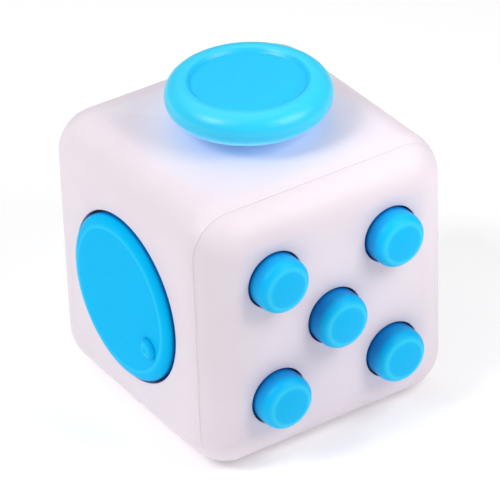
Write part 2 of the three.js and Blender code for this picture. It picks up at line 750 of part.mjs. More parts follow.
function gearBracket() {
  const inside = GEAR_PITCH + GEAR_WIDTH / 2 + BRACKET_SIDE_GAP;
  const outside = inside + BRACKET_CHEEK;
  const cheekX = [GEAR_LINE_X - BRACKET_CHEEK_HALF_X, GEAR_LINE_X + BRACKET_CHEEK_HALF_X];
  const earZ = [SCREW_EAR_TOP - SCREW_EAR_THICKNESS, SCREW_EAR_TOP];
  const earEnd = BRACKET_SCREW_PLACE + SCREW_BOSS_RADIUS;
  const earX = [GEAR_LINE_X - SCREW_BOSS_RADIUS, GEAR_LINE_X + SCREW_BOSS_RADIUS];
  const floorX = [GEAR_LINE_X - GEAR_RADIUS - BRACKET_SPRING_LEDGE, GEAR_LINE_X + GEAR_RADIUS];
  const pieces = [block(floorX, [-outside, outside], [BRACKET_BOTTOM, BRACKET_FLOOR])];
  for (const way of [-1, 1]) {
    const cheek = [way * inside, way * outside].sort((a, b) => a - b);
    const ear = [way * inside, way * earEnd].sort((a, b) => a - b);
    pieces.push(block(cheekX, cheek, [BRACKET_BOTTOM, -WALL - GAP]), block(earX, ear, earZ));
  }
  const holeRadius = AXLE_RADIUS + TURNING_GAP;
  const axleHole = new THREE.CylinderGeometry(holeRadius, holeRadius, 4 * outside, 16);
  const places = rollScrewPlaces.slice(0, 2);
  const body = cut(
    join(...pieces),
    axleHole.translate(GEAR_LINE_X, 0, gearLineZ),
    ...places.map(([x, y]) => rod(SCREW_PILOT_RADIUS, [earZ[0] - CUT, earZ[1] + CUT], x, y, 8)),
  );
  return node('gear_bracket', body, 'grey');
}

function gearDetentSpring() {
  const near = GEAR_LINE_X - GEAR_RADIUS - DETENT_GAP;
  const leaf = [near - DETENT_THICKNESS, near];
  const foot = BRACKET_FLOOR + GAP;
  const halfLength = GEAR_PITCH + GEAR_WIDTH / 2 - GAP;
  const fingerZ = [foot + DETENT_STRIP_HEIGHT / 2, gearLineZ + DETENT_FINGER_ABOVE_AXLE];
  const pieces = [block(leaf, [-halfLength, halfLength], [foot, foot + DETENT_STRIP_HEIGHT])];
  for (const row of Object.values(gearRows)) {
    pieces.push(block(leaf, [row - DETENT_FINGER_HALF, row + DETENT_FINGER_HALF], fingerZ));
  }
  return node('gear_detent_spring', join(...pieces), 'steel');
}

function ballSeat() {
  const cupRadius = BALL_RADIUS + SLIDING_GAP;
  const lip = Math.asin(-Math.sqrt(1 - (BALL_SEAT_RADIUS - BALL_SEAT_LIP) ** 2 / cupRadius ** 2));
  const outline = [
    [0, BALL_SEAT_BOTTOM],
    [BALL_SEAT_RADIUS, BALL_SEAT_BOTTOM],
    [BALL_SEAT_RADIUS, ballLineZ + cupRadius * Math.sin(lip)],
    ...arc(0, ballLineZ, cupRadius, THREE.MathUtils.radToDeg(lip), -90, 5),
  ];
  const result = node('ball_seat', solid(turned(outline, 16)), 'grey');
  result.position.x = BALL_LINE_X;
  return result;
}

function ballHousing() {
  const earZ = [SCREW_EAR_TOP - SCREW_EAR_THICKNESS, SCREW_EAR_TOP];
  const earEnd = BALL_SCREW_PLACE + SCREW_BOSS_RADIUS;
  const places = rollScrewPlaces.slice(2);
  const body = cut(
    join(
      rod(BALL_HOUSING_RADIUS, [BALL_HOUSING_BOTTOM, -WALL - GAP], BALL_LINE_X, 0, 20),
      block([BALL_LINE_X - SCREW_BOSS_RADIUS, BALL_LINE_X + SCREW_BOSS_RADIUS], [-earEnd, earEnd], earZ),
    ),
    rod(BALL_HOUSING_BORE, [BALL_HOUSING_FLOOR, CUT], BALL_LINE_X, 0, 20),
    ...places.map(([x, y]) => rod(SCREW_PILOT_RADIUS, [earZ[0] - CUT, earZ[1] + CUT], x, y, 8)),
  );
  return node('ball_housing', body, 'grey');
}

function rollFace() {
  const group = face('right');
  for (const [name, row] of Object.entries(gearRows)) {
    group.add(gear(`gear_${name}`, row));
  }
  group.add(gearAxle(), gearBracket(), gearDetentSpring());
  group.add(node('steel_ball', solid(ball(BALL_RADIUS, BALL_LINE_X, 0, ballLineZ, 20)), 'steel'));
  const domeBase = BALL_HOUSING_FLOOR + SEAT_GAP;
  const dome = snapDome('ball_snap_dome', DOME_RADIUS, BALL_DOME_HEIGHT, domeBase);
  dome.position.x = BALL_LINE_X;
  group.add(ballSeat(), ballHousing(), dome);
  const names = [
    'gear_bracket_screw_1',
    'gear_bracket_screw_2',
    'ball_housing_screw_1',
    'ball_housing_screw_2',
  ];
  rollScrewPlaces.forEach(([x, y], i) => {
    group.add(screw(names[i], x, y, EAR_SCREW_TOP, SCREW_TIP));
  });
  return group;
}

// ---------------------------------------------------------------- flip: the rocker

function rocker() {
  const valley = ROCKER_VALLEY + ROCKER_PIVOT_DEPTH;
  const tipZ = valley + ROCKER_HALF_TOP * Math.tan(ROCKER_TILT);
  const endRadius = Math.hypot(ROCKER_HALF_TOP, tipZ);
  const topAngle = THREE.MathUtils.radToDeg(Math.atan2(tipZ, ROCKER_HALF_TOP));
  const rightEnd = arc(0, 0, endRadius, -6, topAngle, 5);
  const leftEnd = arc(0, 0, endRadius, 180 - topAngle, 186, 5);
  const outline = [
    [HUB_RADIUS, HUB_END],
    [HUB_RADIUS, HUB_TOP],
    ...rightEnd,
    [0, valley],
    ...leftEnd,
    [-HUB_RADIUS, HUB_TOP],
    [-HUB_RADIUS, HUB_END],
  ];
  const boreEnd = ROCKER_HALF_WIDTH + CUT;
  const pinBore = rod(ROCKER_PIN_RADIUS + TURNING_GAP, [-boreEnd, boreEnd], 0, 0, 16);
  const body = cut(
    solid(prismAlongX(outline, ROCKER_HALF_WIDTH)),
    pinBore.rotateY(Math.PI / 2),
    rod(PLUNGER_BORE_RADIUS, [HUB_END - CUT, PLUNGER_BORE_TOP], 0, 0, 14),
  );
  return node('rocker', body, 'blue');
}

function plunger() {
  const outline = [
    [0, PLUNGER_TIP],
    [PLUNGER_RADIUS, PLUNGER_TIP + PLUNGER_RADIUS],
    [PLUNGER_RADIUS, PLUNGER_TOP],
    [0, PLUNGER_TOP],
  ];
  return node('rocker_plunger', solid(turned(outline, 14)), 'steel');
}

function flipHousing() {
  const earZ = [SCREW_EAR_TOP - SCREW_EAR_THICKNESS, SCREW_EAR_TOP];
  const top = -WALL - GAP;
  const pinHole = rod(ROCKER_PIN_RADIUS + TURNING_GAP, [-HALF, HALF], 0, 0, 16);
  const wellHalfX = ROCKER_HALF_WIDTH + SLIDING_GAP;
  const wellHalfY = ROCKER_OPENING_Y + TURNING_GAP;
  const body = cut(
    join(
      centredBlock(FLIP_HOUSING_HALF_X, FLIP_HOUSING_HALF_Y, [FLIP_HOUSING_BOTTOM, top]),
      centredBlock(FLIP_SCREW_PLACE + SCREW_BOSS_RADIUS, SCREW_BOSS_RADIUS, earZ),
    ),
    centredBlock(wellHalfX, wellHalfY, [FLIP_HOUSING_FLOOR, CUT]),
    pinHole.rotateY(Math.PI / 2).translate(0, 0, -ROCKER_PIVOT_DEPTH),
    ...flipScrewPlaces.map(([x, y]) => rod(SCREW_PILOT_RADIUS, [earZ[0] - CUT, earZ[1] + CUT], x, y, 8)),
  );
  return node('rocker_housing', body, 'grey');
}

function flipFace() {
  const group = face('back');
  const tilted = new THREE.Group();
  tilted.position.z = -ROCKER_PIVOT_DEPTH;
  tilted.rotation.x = ROCKER_TILT;
  const wire = PLUNGER_WIRE_RADIUS;
  const coilSpan = [PLUNGER_TOP + GAP, PLUNGER_BORE_TOP - wire - TURNING_GAP];
  const coil = new Coil([PLUNGER_COIL_RADIUS, PLUNGER_COIL_RADIUS], PLUNGER_COIL_TURNS, coilSpan);
  const spring = node('rocker_plunger_spring', solid(coilSpring(coil, wire, 12)), 'steel');
  tilted.add(rocker(), plunger(), spring);
  const pinEnd = FLIP_HOUSING_HALF_X - TURNING_GAP;
  const pinBody = rod(ROCKER_PIN_RADIUS, [-pinEnd, pinEnd], 0, 0, 14);
  const pin = node('rocker_pin', solid(pinBody.rotateY(Math.PI / 2)), 'steel');
  pin.position.z = -ROCKER_PIVOT_DEPTH;
  group.add(tilted, pin, flipHousing());
  flipScrewPlaces.forEach(([x, y], i) => {
    group.add(screw(`rocker_housing_screw_${i + 1}`, x, y, EAR_SCREW_TOP, SCREW_TIP));
  });
  return group;
}

// ---------------------------------------------------------------- the assembly

const fidgetCube = new THREE.Group();
const assembly = new THREE.Group();
assembly.position.z = HALF;
assembly.add(mainShell(), frontCover(), backCover());
assembly.add(clickFace(), glideFace(), spinFace(), rollFace(), flipFace());
fidgetCube.add(assembly);

export default fidgetCube;
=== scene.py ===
"""Looks of a white fidget cube with sky blue buttons, dial, joystick, gears and rocker.

Shapes are made in millimetres and turned into metres as each piece is finished. Every face of the
cube has its own frame: z points out of the cube, z = 0 is the outer skin, and y points up on the
four sides.
"""

import json
import math

import bmesh
import bpy
from mathutils import Matrix, Vector


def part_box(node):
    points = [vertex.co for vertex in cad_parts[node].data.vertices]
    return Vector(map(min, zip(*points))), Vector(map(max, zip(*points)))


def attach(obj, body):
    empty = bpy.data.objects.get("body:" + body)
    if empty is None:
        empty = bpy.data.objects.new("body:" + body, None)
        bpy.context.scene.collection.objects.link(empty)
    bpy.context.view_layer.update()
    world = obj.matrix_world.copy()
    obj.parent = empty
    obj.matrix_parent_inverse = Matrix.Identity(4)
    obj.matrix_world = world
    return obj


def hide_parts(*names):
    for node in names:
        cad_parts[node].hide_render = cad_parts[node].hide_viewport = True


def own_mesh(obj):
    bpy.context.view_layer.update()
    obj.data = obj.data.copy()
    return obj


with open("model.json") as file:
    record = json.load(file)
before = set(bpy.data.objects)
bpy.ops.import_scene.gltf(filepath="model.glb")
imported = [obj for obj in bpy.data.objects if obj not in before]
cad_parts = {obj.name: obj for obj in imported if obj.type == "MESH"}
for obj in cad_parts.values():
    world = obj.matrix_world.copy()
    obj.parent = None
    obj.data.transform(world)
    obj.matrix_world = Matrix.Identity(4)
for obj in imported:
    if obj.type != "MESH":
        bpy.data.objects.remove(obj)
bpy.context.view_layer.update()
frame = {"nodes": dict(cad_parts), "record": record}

MM = 0.001


# ------------------------------------------------------------------ sizes, in millimetres


def box_mm(node):
    """A CAD node's lowest and highest corner, in millimetres."""
    low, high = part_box(node)
    return low / MM, high / MM


shell_low, shell_high = box_mm("main_shell")
button_low, button_high = box_mm("button_center")
cap_low, cap_high = box_mm("joystick_cap")
dial_low, dial_high = box_mm("dial")
gear_low, gear_high = box_mm("gear_middle")
ball_low, ball_high = box_mm("steel_ball")

HALF = (shell_high.z - shell_low.z) / 2
SEAM = shell_high.y
EDGE_RADIUS = 5.0
WALL = 1.8
SEAM_GAP = 0.03
# How far a cutting or joining body reaches past the surface it meets.
CUT = 0.5
BORE_SPARE = 1.0
SOFT_EDGE = 0.1

FACE_TURNS = {"front": 0, "right": 90, "back": 180, "left": -90}


def face_matrix(side):
    """Takes points of a face's own frame to the cube's place, in millimetres."""
    lift = Matrix.Translation((0, 0, HALF))
    if side == "top":
        return lift @ Matrix.Translation((0, 0, HALF))
    if side == "bottom":
        return lift @ Matrix.Translation((0, 0, -HALF)) @ Matrix.Rotation(math.pi, 4, "X")
    turn = Matrix.Rotation(math.radians(FACE_TURNS[side]), 4, "Z")
    stand = Matrix.Rotation(math.pi / 2, 4, "X")
    return lift @ turn @ Matrix.Translation((0, -HALF, 0)) @ stand


def on_face(side, point):
    """A point of the cube, in millimetres, in a face's own frame."""
    return face_matrix(side).inverted() @ Vector(point)


# ------------------------------------------------------------------ mesh tools


def object_from(bm, name, matrix=None):
    """An object at the origin holding the bmesh, moved by the matrix."""
    if matrix is not None:
        bmesh.ops.transform(bm, matrix=matrix, verts=bm.verts)
        if matrix.determinant() < 0:
            bmesh.ops.reverse_faces(bm, faces=bm.faces)
    mesh = bpy.data.meshes.new(name)
    bm.to_mesh(mesh)
    bm.free()
    result = bpy.data.objects.new(name, mesh)
    bpy.context.scene.collection.objects.link(result)
    return result


def rounded_box(half, radius, steps):
    """A cube about the cube's centre with its edges and corners rounded."""
    bm = bmesh.new()
    bmesh.ops.create_cube(bm, size=2 * half)
    bmesh.ops.bevel(
        bm,
        geom=bm.edges[:],
        offset=radius,
        segments=steps,
        profile=0.5,
        affect="EDGES",
        clamp_overlap=False,
    )
    return object_from(bm, "blank", Matrix.Translation((0, 0, HALF)))


def block(x_span, y_span, z_span, side, corner=0.0):
    """A block in a face's frame, with its corners rounded about z if a radius is given."""
    bm = bmesh.new()
    spans = (x_span, y_span, z_span)
    size = Vector([end - start for start, end in spans])
    middle = Vector([sum(span) / 2 for span in spans])
    bmesh.ops.create_cube(bm, size=1, matrix=Matrix.Translation(middle) @ Matrix.Diagonal(size).to_4x4())
    if corner:
        upright = [e for e in bm.edges if abs((e.verts[0].co - e.verts[1].co).normalized().z) > 0.9]
        bmesh.ops.bevel(bm, geom=upright, offset=corner, segments=6, profile=0.5, affect="EDGES")
    return object_from(bm, "blank", face_matrix(side))


ON_AXIS = 1e-9


def turned(outline, steps, name="blank", matrix=None):
    """A solid of revolution about z. The outline of (radius, z) points runs from axis to axis,
    or closes on itself."""
    bm = bmesh.new()
    closed = outline[0][0] > ON_AXIS
    rings = []
    for radius, z in outline:
        if radius < ON_AXIS:
            rings.append([bm.verts.new((0, 0, z))])
            continue
        ring = []
        for i in range(steps):
            angle = 2 * math.pi * i / steps
            ring.append(bm.verts.new((radius * math.cos(angle), radius * math.sin(angle), z)))
        rings.append(ring)
    pairs = list(zip(rings, rings[1:]))
    if closed:
        pairs.append((rings[-1], rings[0]))
    for lower, upper in pairs:
        for i in range(steps):
            j = (i + 1) % steps
            low_pair = [lower[i % len(lower)], lower[j % len(lower)]]
            high_pair = [upper[j % len(upper)], upper[i % len(upper)]]
            bm.faces.new(list(dict.fromkeys(low_pair + high_pair)))
    bmesh.ops.recalc_face_normals(bm, faces=bm.faces)
    return object_from(bm, name, matrix)


def arc(centre_r, centre_z, radius, start, end, steps):
    """Points of an arc in the outline's plane, angles in degrees from the outward direction."""
    points = []
    for i in range(steps + 1):
        angle = math.radians(start + (end - start) * i / steps)
        points.append((centre_r + radius * math.cos(angle), centre_z + radius * math.sin(angle)))
    return points


def rod(radius, z_span, side, x=0.0, y=0.0, steps=48):
    """A straight cylinder standing in a face's frame."""
    outline = [(0, z_span[0]), (radius, z_span[0]), (radius, z_span[1]), (0, z_span[1])]
    return turned(outline, steps, matrix=face_matrix(side) @ Matrix.Translation((x, y, 0)))


def prism(outline, half_width, name, matrix):
    """An outline of (y, z) points drawn out along x."""
    bm = bmesh.new()
    near = [bm.verts.new((-half_width, y, z)) for y, z in outline]
    far = [bm.verts.new((half_width, y, z)) for y, z in outline]
    bm.faces.new(near[::-1])
    bm.faces.new(far)
    for i in range(len(outline)):
        j = (i + 1) % len(outline)
        bm.faces.new((near[i], near[j], far[j], far[i]))
    bmesh.ops.recalc_face_normals(bm, faces=bm.faces)
    return object_from(bm, name, matrix)


def applied(target):
    """Turns an object's modifiers into its mesh."""
    bpy.context.view_layer.update()
    graph = bpy.context.evaluated_depsgraph_get()
    mesh = bpy.data.meshes.new_from_object(target.evaluated_get(graph))
    old = target.data
    target.modifiers.clear()
    target.data = mesh
    bpy.data.meshes.remove(old)
    return target


def combined(target, others, operation):
    """Joins the others to the target, cuts them from it, or keeps what they share."""
    for other in others:
        modifier = target.modifiers.new("combine", "BOOLEAN")
        modifier.operation = operation
        modifier.solver = "EXACT"
        modifier.object = other
        applied(target)
        bpy.data.objects.remove(other)
    return target


def softened(target, width, steps=3, angle=32):
    """Rounds the sharp edges and gives the surface clean shading."""
    bevel = target.modifiers.new("soft_edges", "BEVEL")
    bevel.width = width
    bevel.segments = steps
    bevel.limit_method = "ANGLE"
    bevel.angle_limit = math.radians(angle)
    bevel.use_clamp_overlap = True
    bevel.miter_outer = "MITER_ARC"
    return applied(target)


# Flat areas larger than this, in square metres, keep flat shading.
WIDE_FLAT = 20 * MM * MM


def smoothed(mesh, angle):
    """Smooth shading across edges flatter than the angle, in which wide flat areas stay flat."""
    limit = math.cos(math.radians(angle))
    planes, area = [], {}
    around = [[] for _ in mesh.vertices]
    beside = [[] for _ in mesh.edges]
    for polygon in mesh.polygons:
        n = polygon.normal
        offset = n.dot(polygon.center) / MM
        plane = (round(n.x, 2), round(n.y, 2), round(n.z, 2), round(offset, 1))
        planes.append(plane)
        area[plane] = area.get(plane, 0.0) + polygon.area
        for vertex in polygon.vertices:
            around[vertex].append(polygon.index)
        for corner in polygon.loop_indices:
            beside[mesh.loops[corner].edge_index].append(polygon.index)
    normals = [polygon.normal.copy() for polygon in mesh.polygons]
    for polygon in mesh.polygons:
        polygon.use_smooth = area[planes[polygon.index]] < WIDE_FLAT
    for edge, faces in zip(mesh.edges, beside):
        if len(faces) == 2:
            first, second = faces
            bent = normals[first].dot(normals[second]) < limit
            apart = planes[first] != planes[second]
            wide = max(area[planes[first]], area[planes[second]]) > WIDE_FLAT
            edge.use_edge_sharp = bent or (apart and wide)
    corners = []
    for polygon in mesh.polygons:
        own = normals[polygon.index]
        for vertex in polygon.vertices:
            total = Vector()
            for other in around[vertex]:
                if normals[other].dot(own) >= limit:
                    total += normals[other] * area[planes[other]]
            corners.append(total.normalized())
    mesh.normals_split_custom_set(corners)


# The face attribute that says where the plastic is rubbed pale and where a painted highlight lies, from 0
# to 1.
WEAR_AND_HIGHLIGHT = "wear_and_painted_highlight"
# A face starts to pale at this turn, in radians per millimetre, and is palest after this much more.
WEAR_START = 0.4
WEAR_RANGE = 2.4
WEAR_REACH = 0.02


def set_wear_and_highlight(target, marks):
    """Stores one value for each face: rubbed wear where curvature marks it, and painted highlight where a
    ring or rim marks it.
    """
    layer = target.data.attributes.new(WEAR_AND_HIGHLIGHT, "FLOAT", "FACE")
    layer.data.foreach_set("value", marks)


def note_wear(target):
    """Marks each face with how sharply the surface turns there, which is where plastic rubs pale."""
    probe = bmesh.new()
    probe.from_mesh(target.data)
    turns = []
    for face in probe.faces:
        middle = face.calc_center_median()
        sharpest = 0.0
        for edge in face.edges:
            for other in edge.link_faces:
                if other is not face:
                    apart = (other.calc_center_median() - middle).length
                    sharpest = max(sharpest, edge.calc_face_angle(0.0) / max(apart, WEAR_REACH))
        turns.append(min(max((sharpest - WEAR_START) / WEAR_RANGE, 0.0), 1.0))
    probe.free()
    set_wear_and_highlight(target, turns)


def paint_highlight_ring(target, place, middle_radius, width):
    """Paints a highlight ring on a turned piece: marks its faces on and beside one ring, fading to both
    sides.
    """
    back = place.inverted()
    marks = []
    for polygon in target.data.polygons:
        middle = back @ polygon.center
        away = (math.hypot(middle.x, middle.y) - middle_radius) / width
        marks.append(math.exp(-away * away))
    set_wear_and_highlight(target, marks)


def paint_rim_highlight(target, place, inner, outer):
    """Paints a highlight on a turned piece's rim: marks its faces from 0 inside one radius to 1 beyond
    the other.
    """
    back = place.inverted()
    marks = []
    for polygon in target.data.polygons:
        middle = back @ polygon.center
        share = (math.hypot(middle.x, middle.y) - inner) / (outer - inner)
        marks.append(min(max(share, 0.0), 1.0))
    set_wear_and_highlight(target, marks)


def finished(piece, name, body, node, material, angle=40):
    """Turns a piece into metres, names it, paints it and lets it ride on its body."""
    if WEAR_AND_HIGHLIGHT not in piece.data.attributes:
        note_wear(piece)
    piece.name = name
    piece.data.name = name
    piece.data.transform(Matrix.Scale(MM, 4))
    smoothed(piece.data, angle)
    piece.data.materials.clear()
    piece.data.materials.append(material)
    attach(piece, body)
    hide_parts(node)
    return piece


# ------------------------------------------------------------------ materials


class Shader:
    """A node material being put together."""

    def __init__(self, name):
        self.material = bpy.data.materials.new(name)
        self.material.use_nodes = True
        self.tree = self.material.node_tree
        self.surface = self.tree.nodes["Principled BSDF"]
        self.place = self.node("ShaderNodeTexCoord").outputs["Object"]

    def node(self, kind, **settings):
        result = self.tree.nodes.new(kind)
        for key, value in settings.items():
            setattr(result, key, value)
        return result

    def link(self, source, target):
        self.tree.links.new(source, target)

    def noise(self, size_mm, detail=3.0, roughness=0.5):
        """Noise whose features are about this many millimetres across."""
        noise = self.node("ShaderNodeTexNoise")
        noise.inputs["Scale"].default_value = 1 / (size_mm * MM)
        noise.inputs["Detail"].default_value = detail
        noise.inputs["Roughness"].default_value = roughness
        self.link(self.place, noise.inputs["Vector"])
        return noise.outputs["Fac"]

    def ramp(self, value, low, high, stops=(0.0, 1.0)):
        """Turns a 0 to 1 value into a number or colour between low and high."""
        if not isinstance(low, tuple):
            numbers = self.node("ShaderNodeMapRange")
            numbers.inputs["From Min"].default_value = stops[0]
            numbers.inputs["From Max"].default_value = stops[1]
            numbers.inputs["To Min"].default_value = low
            numbers.inputs["To Max"].default_value = high
            self.link(value, numbers.inputs["Value"])
            return numbers.outputs["Result"]
        colours = self.node("ShaderNodeValToRGB")
        colours.color_ramp.elements[0].position = stops[0]
        colours.color_ramp.elements[0].color = (*low, 1)
        colours.color_ramp.elements[1].position = stops[1]
        colours.color_ramp.elements[1].color = (*high, 1)
        self.link(value, colours.inputs["Fac"])
        return colours.outputs["Color"]

    def hollows(self, reach_mm):
        """Ambient occlusion: 1 in the open, and lower the deeper a point lies in a hollow."""
        occlusion = self.node("ShaderNodeAmbientOcclusion", samples=8)
        occlusion.inputs["Distance"].default_value = reach_mm * MM
        return occlusion.outputs["AO"]

    def mixed(self, factor, first, second):
        """The first colour where the factor is 0, the second where it is 1."""
        mix = self.node("ShaderNodeMix", data_type="RGBA")
        self.link(factor, mix.inputs["Factor"])
        for value, socket in ((first, mix.inputs[6]), (second, mix.inputs[7])):
            if isinstance(value, tuple):
                socket.default_value = (*value, 1)
            else:
                self.link(value, socket)
        return mix.outputs[2]

    def bump(self, height, depth_mm, strength, before=None):
        """Raises the surface by a height value, on top of an earlier bump if there is one."""
        bump = self.node("ShaderNodeBump")
        bump.inputs["Strength"].default_value = strength
        bump.inputs["Distance"].default_value = depth_mm * MM
        self.link(height, bump.inputs["Height"])
        if before is not None:
            self.link(before, bump.inputs["Normal"])
        return bump.outputs["Normal"]

    def set(self, **values):
        """Sets or links the surface's sockets, named with _ for each space."""
        for key, value in values.items():
            socket = self.surface.inputs[key.replace("_", " ")]
            if isinstance(value, bpy.types.NodeSocket):
                self.link(value, socket)
            else:
                socket.default_value = value


DRIFT_MM = 7.0
SCUFF_MM = 1.6
WAVE_MM = 4.5
WAVE_DEPTH_MM = 0.02
# How far the painted shade in hollows reaches.
SHADE_REACH_MM = 5.0
# How far the painted glow reaches into hollows, and its colour.
PAINTED_GLOW_REACH_MM = 6.0
PAINTED_GLOW_COLOUR = (0.42, 0.64, 1.0)


def moulded_plastic(
    name, colour, wear_and_highlight_colour, rough, gloss, grain_mm, grain_depth_mm, glow_mm, glow, painted_shade_share=1.0, painted_glow=0.0
):
    """Moulded plastic: fine spark grain, slow sheen drift, faint colour drift, paler rubbed edges and
    pale painted highlights where faces are marked for them.
    A painted shade share below 1 darkens the hollows with painted shade. A painted glow makes the hollows
    emit light, a painted fill that lifts the shade under the part."""
    shader = Shader(name)
    deeper = tuple(c * 0.975 for c in colour)
    base = shader.ramp(shader.noise(DRIFT_MM, detail=2.0), deeper, colour, (0.35, 0.65))
    # Pale colour where the attribute is high: rubbed edge wear on curvature-marked faces, and painted
    # highlight on ring and rim marks.
    edge = shader.node("ShaderNodeAttribute", attribute_name=WEAR_AND_HIGHLIGHT).outputs["Fac"]
    base = shader.mixed(edge, base, wear_and_highlight_colour)
    # Painted shade: hollows found by ambient occlusion get a darker colour.
    if painted_shade_share < 1:
        shade_colour = tuple(c * share for c, share in zip(colour, (painted_shade_share, painted_shade_share, painted_shade_share**0.5)))
        openness = shader.ramp(shader.hollows(SHADE_REACH_MM), 0.0, 1.0, (0.45, 0.95))
        base = shader.mixed(openness, shade_colour, base)
    # Painted glow: the surface emits a bluish fill light in its hollows, which lifts the shade under the
    # part.
    if painted_glow > 0:
        shader.set(
            Emission_Color=(*PAINTED_GLOW_COLOUR, 1.0),
            Emission_Strength=shader.ramp(shader.hollows(PAINTED_GLOW_REACH_MM), painted_glow, 0.0, (0.3, 0.7)),
        )
    scuffs = shader.noise(SCUFF_MM, detail=6.0, roughness=0.65)
    normal = shader.bump(shader.noise(WAVE_MM, detail=1.0), WAVE_DEPTH_MM, 0.4)
    normal = shader.bump(shader.noise(grain_mm, detail=2.0, roughness=0.6), grain_depth_mm, 0.6, normal)
    shader.set(
        Base_Color=base,
        Roughness=shader.ramp(scuffs, rough - 0.05, rough + 0.06, (0.3, 0.7)),
        Normal=normal,
        IOR=1.5,
        Specular_IOR_Level=gloss,
        Subsurface_Weight=glow,
        Subsurface_Radius=(1.0, 1.0, 1.0),
        Subsurface_Scale=glow_mm * MM,
    )
    return shader.material


def metal(name, colour, rough, streak_mm, streak_depth_mm):
    """Plated or ground steel: streaks stretched one way, stains and small scratches."""
    shader = Shader(name)
    stretch = shader.node("ShaderNodeMapping")
    stretch.inputs["Scale"].default_value = (1, 1, 6)
    shader.link(shader.place, stretch.inputs["Vector"])
    streaks = shader.node("ShaderNodeTexNoise")
    streaks.inputs["Scale"].default_value = 1 / (streak_mm * MM)
    streaks.inputs["Detail"].default_value = 4.0
    shader.link(stretch.outputs["Vector"], streaks.inputs["Vector"])
    stains = shader.noise(1.2, detail=5.0, roughness=0.6)
    darker = tuple(c * 0.86 for c in colour)
    shader.set(
        Base_Color=shader.ramp(stains, darker, colour, (0.3, 0.6)),
        Metallic=1.0,
        Roughness=shader.ramp(streaks.outputs["Fac"], rough * 0.7, rough * 1.4, (0.3, 0.7)),
        Normal=shader.bump(streaks.outputs["Fac"], streak_depth_mm, 0.5),
    )
    return shader.material


def rubber(name, colour):
    """Silicone: matt, faintly mottled and dusty."""
    shader = Shader(name)
    mottle = shader.noise(0.8, detail=5.0)
    paler = tuple(c * 1.35 for c in colour)
    shader.set(
        Base_Color=shader.ramp(mottle, colour, paler, (0.35, 0.75)),
        Roughness=shader.ramp(mottle, 0.7, 0.9, (0.3, 0.7)),
        Normal=shader.bump(shader.noise(0.12, detail=2.0), 0.01, 0.6),
        Sheen_Weight=0.1,
    )
    return shader.material


white = moulded_plastic(
    "white_shell",
    colour=(0.87, 0.775, 0.845),
    wear_and_highlight_colour=(0.88, 0.80, 0.86),
    rough=0.42,
    gloss=0.3,
    grain_mm=0.11,
    grain_depth_mm=0.006,
    glow_mm=0.9,
    glow=0.2,
)
# Sky blue: pale on rubbed edges and in the painted highlight rings of the buttons, with painted shade in
# its hollows.
blue = moulded_plastic(
    "sky_blue",
    colour=(0.003, 0.54, 1.0),
    wear_and_highlight_colour=(0.035, 0.66, 1.0),
    rough=0.42,
    gloss=0.12,
    grain_mm=0.10,
    grain_depth_mm=0.005,
    glow_mm=0.6,
    glow=0.1,
    painted_shade_share=0.3,
)
# Satin sky blue: pale in the painted highlight rings of the dial and its bump, with painted shade in its
# hollows.
satin_blue = moulded_plastic(
    "sky_blue_satin",
    colour=(0.001, 0.54, 1.0),
    wear_and_highlight_colour=(0.025, 0.62, 1.0),
    rough=0.4,
    gloss=0.02,
    grain_mm=0.10,
    grain_depth_mm=0.005,
    glow_mm=0.6,
    glow=0.05,
    painted_shade_share=0.3,
)
# Glossy sky blue: pale in the painted highlight on the disc's rim, with a painted glow in its hollows.
glossy_blue = moulded_plastic(
    "sky_blue_glossy",
    colour=(0.004, 0.6, 1.0),
    wear_and_highlight_colour=(0.03, 0.65, 1.0),
    rough=0.34,
    gloss=0.45,
    grain_mm=0.4,
    grain_depth_mm=0.002,
    glow_mm=3.0,
    glow=0.5,
    painted_glow=0.45,
)
grey = moulded_plastic(
    "inner_grey",
    colour=(0.34, 0.35, 0.37),
    wear_and_highlight_colour=(0.5, 0.51, 0.53),
    rough=0.5,
    gloss=0.4,
    grain_mm=0.14,
    grain_depth_mm=0.01,
    glow_mm=0.3,
    glow=0.05,
)
silicone = rubber("pad_silicone", (0.09, 0.095, 0.11))
plated = metal("plated_steel", (0.6, 0.61, 0.63), rough=0.28, streak_mm=0.25, streak_depth_mm=0.004)
polished = metal("polished_steel", (0.72, 0.73, 0.75), rough=0.09, streak_mm=0.6, streak_depth_mm=0.0005)


# ------------------------------------------------------------------ casing

PEG_PLACE = 12.4
PEG_RADIUS = 1.2
PEG_REACH = 6.4
PEG_HOLE_GAP = 0.2
PEG_HOLE_SPARE_DEPTH = 0.3
CORNER_BOSS_RADIUS = 2.4
CORNER_BOSS_LENGTH = 5.0
SCREW_BOSS_RADIUS = 1.6
SCREW_BOSS_END = -4.0
SCREW_PILOT_RADIUS = 0.75
SCREW_PILOT_END = -1.0

DIAL_POCKET_RADIUS = 10.15
DIAL_POCKET_DEPTH = 2.4
DIAL_BACKING = 1.2
DIAL_SHAFT_RADIUS = 1.6
DIAL_SHAFT_GAP = 0.2
STEM_HOLE_RADIUS = 5.0
BUTTON_HOLE_RADIUS = 3.45
DISH_HALF_X = 10.9
DISH_HALF_Y = 9.1
DISH_DEPTH = 2.8
DISH_BACKING = 1.4
ROCKER_OPENING_X = 4.05
ROCKER_OPENING_Y = 7.6
BALL_SOCKET_GAP = 0.2
GEAR_SLOT_GAP = 0.25


def corner_places(distance):
    """Four places at the corners of a square."""
    return [(x * distance, y * distance) for x in (-1, 1) for y in (-1, 1)]


def places_of(side, nodes):
    """Where the middles of these CAD nodes are in a face's frame, as (x, y) pairs."""
    places = []
    for node in nodes:
        low, high = box_mm(node)
        middle = on_face(side, (low + high) / 2)
        places.append((middle.x, middle.y))
    return places


def numbered(stem):
    """The two screws that share a name."""
    return [f"{stem}_{i}" for i in (1, 2)]


